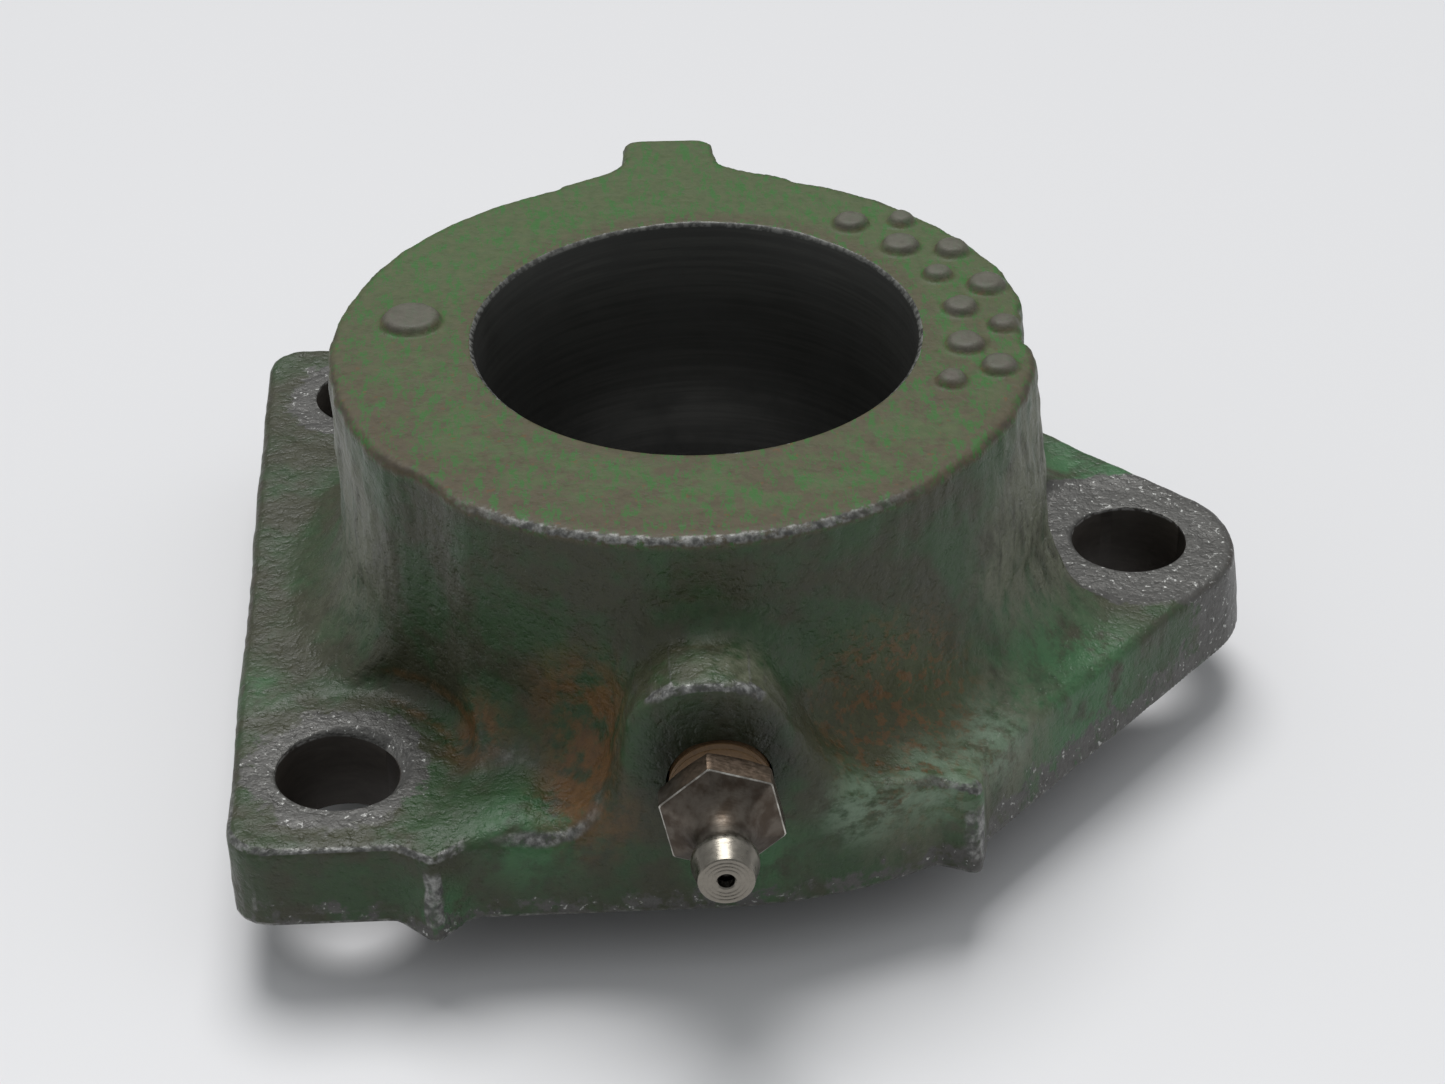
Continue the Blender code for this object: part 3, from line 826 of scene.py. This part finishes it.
def hub_face_film(n, fine, colour):
    """The hub face is rubbed to a grey film, brown by its edges, with green showing through in streaks."""
    face = n.ramp(n.axis("Z"), HUB_FACE_Z - 1.5, HUB_FACE_Z - 0.4)
    film = n.mix(fine, (0.045, 0.078, 0.028), (0.125, 0.145, 0.068))
    brown = n.mix(fine, (0.05, 0.038, 0.022), (0.14, 0.108, 0.072))
    by_rim = n.ramp(n.reach(), BORE_RADIUS + 0.8, BORE_RADIUS + 4, 0.7, 0.0)
    outside = n.ramp(n.reach(), HUB_RADIUS - 5, HUB_RADIUS - 0.5, 0.0, 0.9)
    front = n.ramp(n.axis("Y"), 22, -18, 0.0, 1.0)
    browned = n.plus(by_rim, n.times(outside, front), True)
    patches = n.ramp(n.noise(5, 5, move=(2, 8, 0), rough=0.7), 0.42, 0.56)
    browned = n.math("MAXIMUM", browned, n.times(patches, n.times(front, 0.8)))
    film = n.mix(browned, film, brown)
    streaks = n.ramp(n.noise(1.3, 6, (1.4, 0.5, 1), (7, 3, 0), 0.8), 0.49, 0.6, 0.0, 0.8)
    film = n.mix(streaks, film, (0.036, 0.145, 0.028))
    specks = n.ramp(n.noise(0.9, 3, move=(4, 4, 4)), 0.64, 0.72, 0.0, 0.6)
    film = n.mix(n.times(specks, front), film, (0.15, 0.075, 0.03))
    return n.mix(face, colour, film)


def rust_stains(n, fine, colour):
    """Rust beside the boss, by the front seat and in hollows, and in specks at the foot of the hub."""
    rust = n.mix(fine, (0.052, 0.028, 0.01), (0.23, 0.115, 0.036))
    ragged = n.ramp(n.noise(3, 5, move=(3, 9, 1), rough=0.65), 0.36, 0.58)
    pools = n.near_any([((-13.5, -40, 25), 2, 10), ((-12, -44, 19), 2, 8), ((-23.5, -33, 19), 1, 6)])
    pools = n.plus(pools, n.times(n.ramp(n.mask("hollow"), 0.45, 0.9), 0.5), True)
    colour = n.mix(n.times(pools, ragged, True), colour, rust)
    specks = n.ramp(n.noise(1.1, 4, move=(8, 2, 5), rough=0.6), 0.5, 0.6, 0.0, 0.85)
    foot = n.near((19, -37, 22), 4, 14)
    olive = n.mix(fine, (0.036, 0.036, 0.014), (0.115, 0.12, 0.05))
    colour = n.mix(n.times(foot, 0.7), colour, olive)
    return n.mix(n.times(specks, foot), colour, rust)


def ridge_highlight_and_painted_shade(n, fine, colour):
    """A painted highlight in light green along the ridge right of the boss, and painted shade round the
    fitting.
    """
    # Painted highlight: light green streaks along the ridge, where the light falls.
    ridge = n.near_any([((15, -47, 18), 1, 7), ((22, -42, 18), 1, 7), ((29, -36, 18), 1, 7)])
    streaks = n.ramp(n.noise(1.5, 4, (0.5, 1, 1), (4, 6, 2), 0.65), 0.36, 0.58, 0.0, 0.95)
    highlight_green = n.mix(fine, (0.09, 0.15, 0.085), (0.27, 0.36, 0.26))
    colour = n.mix(n.times(ridge, streaks), colour, highlight_green)
    # Painted shade: a near-black colour over the boss face round the fitting and above it.
    round_fitting = n.near((FITTING_X, FRONT_EDGE_Y, FITTING_Z + 3), 5, 9.5)
    painted_shade_colour = n.mix(fine, (0.008, 0.008, 0.006), (0.03, 0.032, 0.022))
    return n.mix(n.times(round_fitting, 0.75), colour, painted_shade_colour)


def bare_places(n):
    """Iron rubbed bare round the bolt holes, over the lobe's end and low on the flange, with ragged edges."""
    spots = [((*LOBE_HOLE, FLANGE_TOP_Z), 10.5, 15), ((57, 1, 12), 5, 13)]
    spots += [((*FRONT_HOLE, FLANGE_TOP_Z), 6, 13), ((*REAR_HOLE, FLANGE_TOP_Z), 6, 13)]
    low = n.ramp(n.axis("Z"), 8.2, 14.5, 0.5, 0.0)
    right = n.times(n.ramp(n.axis("X"), 5, 35, 0.0, 0.18), n.ramp(n.axis("Z"), 13, 16, 1, 0))
    total = n.plus(n.near_any(spots), n.plus(low, right), True)
    ragged = n.ramp(n.noise(2.2, 5, move=(6, 6, 6), rough=0.65), 0.25, 0.75, -0.35, 0.35, False)
    return n.ramp(n.plus(total, ragged), 0.42, 0.62)


def bored_material():
    """Dark, oily, turned iron with fine rings, and a painted highlight as a bright line where the bore meets
    the hub face, stronger at the front.
    """
    n = new_material("bored_iron")
    rings = n.noise(0.6, 3, (0.04, 0.04, 1))
    cloud = n.noise(6, 3)
    dark = n.mix(n.ramp(rings, 0.35, 0.65), (0.05, 0.05, 0.046), (0.068, 0.068, 0.062))
    dark = n.mix(n.ramp(cloud, 0.4, 0.7, 0, 0.6), dark, (0.05, 0.05, 0.047))
    # Painted highlight: a bright line along the bore's top rim, stronger towards the front.
    rim = n.ramp(n.axis("Z"), HUB_FACE_Z - 0.5, HUB_FACE_Z - 0.35)
    rim = n.times(rim, n.ramp(n.axis("Y"), 15, -10, 0.35, 1.0))
    colour = n.mix(n.times(rim, n.ramp(n.noise(0.6, 4), 0.4, 0.6)), dark, (0.3, 0.3, 0.28))
    lines = n.bump(rings, 0.012, 0.4)
    rough = n.ramp(cloud, 0.3, 0.7, 0.36, 0.5)
    return n.finish(Base_Color=colour, Roughness=rough, Metallic=0.5, Normal=lines)


def drilled_material():
    n = new_material("drilled_iron")
    rings = n.noise(0.7, 4, (0.3, 0.3, 1))
    colour = n.mix(rings, (0.025, 0.02, 0.016), (0.06, 0.05, 0.042))
    # Painted highlight: a bright line along the top rim of each bolt hole.
    rim = n.ramp(n.axis("Z"), FLANGE_TOP_Z - 0.7, FLANGE_TOP_Z - 0.4)
    colour = n.mix(n.times(rim, n.ramp(n.noise(0.8, 4), 0.35, 0.6)), colour, (0.32, 0.31, 0.3))
    return n.finish(Base_Color=colour, Roughness=0.55, Metallic=0.2, Normal=n.bump(rings, 0.1, 0.6))


def fitting_material():
    """Dull turned steel, tarnished brown on the hexagon and rusty at the thread, with painted highlights on
    the hexagon's upper flats and along its front edge.
    """
    n = new_material("tarnished_steel")
    out = n.math("SUBTRACT", FRONT_EDGE_Y, n.axis("Y"))
    fine = n.noise(0.5, 4)
    steel = n.mix(fine, (0.17, 0.155, 0.13), (0.31, 0.285, 0.245))
    brown = n.mix(n.ramp(n.noise(1.8, 4), 0.35, 0.65), (0.078, 0.06, 0.046), (0.14, 0.12, 0.1))
    # Painted light: the hexagon's upper flats are coloured a lighter brown where light from above falls on
    # them.
    lit_upper_flats = n.ramp(n.axis("Z"), FITTING_Z + 3, FITTING_Z + 5)
    lit_upper_flats = n.times(lit_upper_flats, n.ramp(out, HEX_END - 0.16, HEX_END - 0.1, 0.8, 0.0))
    brown = n.mix(lit_upper_flats, brown, n.mix(fine, (0.13, 0.09, 0.06), (0.28, 0.21, 0.16)))
    rust = n.mix(fine, (0.09, 0.045, 0.018), (0.22, 0.13, 0.055))
    colour = n.mix(n.ramp(out, 8.5, 11.2), brown, steel)
    at_thread = n.ramp(out, 1.8, 2.6, 1.0, 0.0)
    colour = n.mix(at_thread, colour, rust)
    # Painted highlight: a thin bright line along the hexagon's front edge.
    rim = n.ramp(out, HEX_END - 0.1, HEX_END - 0.07)
    rim = n.times(rim, n.ramp(out, HEX_END + 0.01, HEX_END + 0.04, 1.0, 0.0))
    rim = n.times(rim, n.ramp(n.noise(1.5, 3), 0.35, 0.6, 0.3, 1.0))
    colour = n.mix(rim, colour, (0.6, 0.58, 0.53))
    metal = n.ramp(out, 1.8, 2.4, 0.1, 1.0)
    rings = n.noise(0.22, 2, (0.15, 1, 0.15))
    rough = n.plus(n.ramp(fine, 0.3, 0.7, 0.26, 0.38), n.ramp(out, 9.5, 11, 0.12, 0.0))
    return n.finish(Base_Color=colour, Roughness=rough, Metallic=metal, Normal=n.bump(rings, 0.04, 0.7))


def plain_steel(name, dark, bright, roughness):
    n = new_material(name)
    grain = n.noise(0.3, 4)
    return n.finish(Base_Color=n.mix(grain, dark, bright), Roughness=roughness, Metallic=1.0,
                    Normal=n.bump(grain, 0.01, 0.4))


def finish_ball():
    """The ball keeps its CAD shape."""
    item = frame["nodes"]["check_ball"]
    item.data.materials.clear()
    # Painted shade: the ball's steel is coloured dark, as the shade inside the fitting, so it shows no bright
    # reflection through the inlet.
    item.data.materials.append(plain_steel("ball_steel", (0.1, 0.1, 0.1), (0.2, 0.2, 0.2), 0.35))


def build_spring():
    """The coil behind the ball, built at one fixed length."""
    sides = np.arange(10) * math.tau / 10
    rings = []
    for turn in np.linspace(0, SPRING_TURNS, SPRING_TURNS * 32 + 1):
        # The wire's two ends are closed almost to a point
        wire = SPRING_WIRE if 0 < turn < SPRING_TURNS else 0.01
        reach = SPRING_RADIUS + wire * np.cos(sides)
        run = (SPRING_END - SPRING_START) * turn / SPRING_TURNS
        x = FITTING_X + reach * math.cos(turn * math.tau)
        y = FRONT_EDGE_Y - SPRING_START - run - wire * np.sin(sides)
        rings.append(np.stack([x, y, FITTING_Z + reach * math.sin(turn * math.tau)], 1))
    points, faces = turned_faces(rings, False)
    item = mesh_object("coil_spring", points, np.array(faces))
    item.data.materials.append(plain_steel("spring_steel", (0.36, 0.35, 0.33), (0.5, 0.49, 0.47), 0.3))
    smooth(item, 60)
    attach(item, "bearing")
    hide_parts("ball_spring")
    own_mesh(item)


# ---- Floor, light and camera ----


def build_floor():
    mesh = bpy.data.meshes.new("floor")
    reach = 3.0
    corners = [(-reach, -reach, 0), (reach, -reach, 0), (reach, reach, 0), (-reach, reach, 0)]
    mesh.from_pydata(corners, [], [(0, 1, 2, 3)])
    item = add_object("floor", mesh)
    n = new_material("pale_floor")
    mesh.materials.append(n.finish(Base_Color=(0.78, 0.775, 0.785), Roughness=0.45))


def add_sun(name, azimuth, elevation, strength, spread):
    """Soft light from far away. Azimuth is where it comes from, in degrees turned from +X."""
    light = bpy.data.lights.new(name, "SUN")
    light.energy = strength
    light.angle = math.radians(spread)
    item = add_object(name, light)
    side, rise = math.radians(azimuth), math.radians(elevation)
    towards = Vector((math.cos(side) * math.cos(rise), math.sin(side) * math.cos(rise), math.sin(rise)))
    item.rotation_euler = towards.to_track_quat("Z", "Y").to_euler()


def build_light():
    """A soft key light high up behind the part, in a room with a bright ceiling and brighter side walls."""
    n = Nodes(bpy.data.worlds.new("studio"), "Generated")
    ceiling = n.ramp(n.axis("Z"), 0.05, 0.85, WALL_LIGHT, CEILING_LIGHT)
    walls = n.ramp(n.math("ABSOLUTE", n.axis("X")), 0.35, 0.95, 0.0, SIDE_LIGHT)
    background = n.tree.nodes["Background"]
    n.put(background.inputs["Color"], (0.95, 0.98, 1.0))
    n.put(background.inputs["Strength"], n.plus(ceiling, walls))
    bpy.context.scene.world = n.owner
    add_sun("key_light", 97, 66, KEY_LIGHT, 34)
    bpy.context.scene.view_settings.view_transform = "Standard"


def build_camera():
    """The camera stands in front of the hub, a third of a metre off, looking down at about 34 degrees."""
    rise, side, roll = (math.radians(turn) for turn in (CAMERA_RISE, CAMERA_SIDE, CAMERA_ROLL))
    back = Vector((-math.cos(rise) * math.sin(side), -math.cos(rise) * math.cos(side), math.sin(rise)))
    level = Vector((math.cos(side), -math.sin(side), 0))
    above = back.cross(level)
    right = math.cos(roll) * level + math.sin(roll) * above
    up = -math.sin(roll) * level + math.cos(roll) * above
    aim = BORE_AXIS + Vector((*CAMERA_AIM, HUB_FACE_Z)) * MM
    data = bpy.data.cameras.new("camera")
    data.sensor_width = 36
    data.lens = CAMERA_LENS
    data.clip_start = 0.01
    item = add_object("camera", data)
    turn = Matrix((right, up, back)).transposed().to_4x4()
    item.matrix_world = Matrix.Translation(aim + back * CAMERA_DISTANCE) @ turn
    bpy.context.scene.camera = item


build_camera()
build_floor()
build_light()
build_housing()
build_fitting()
build_spring()
finish_ball()
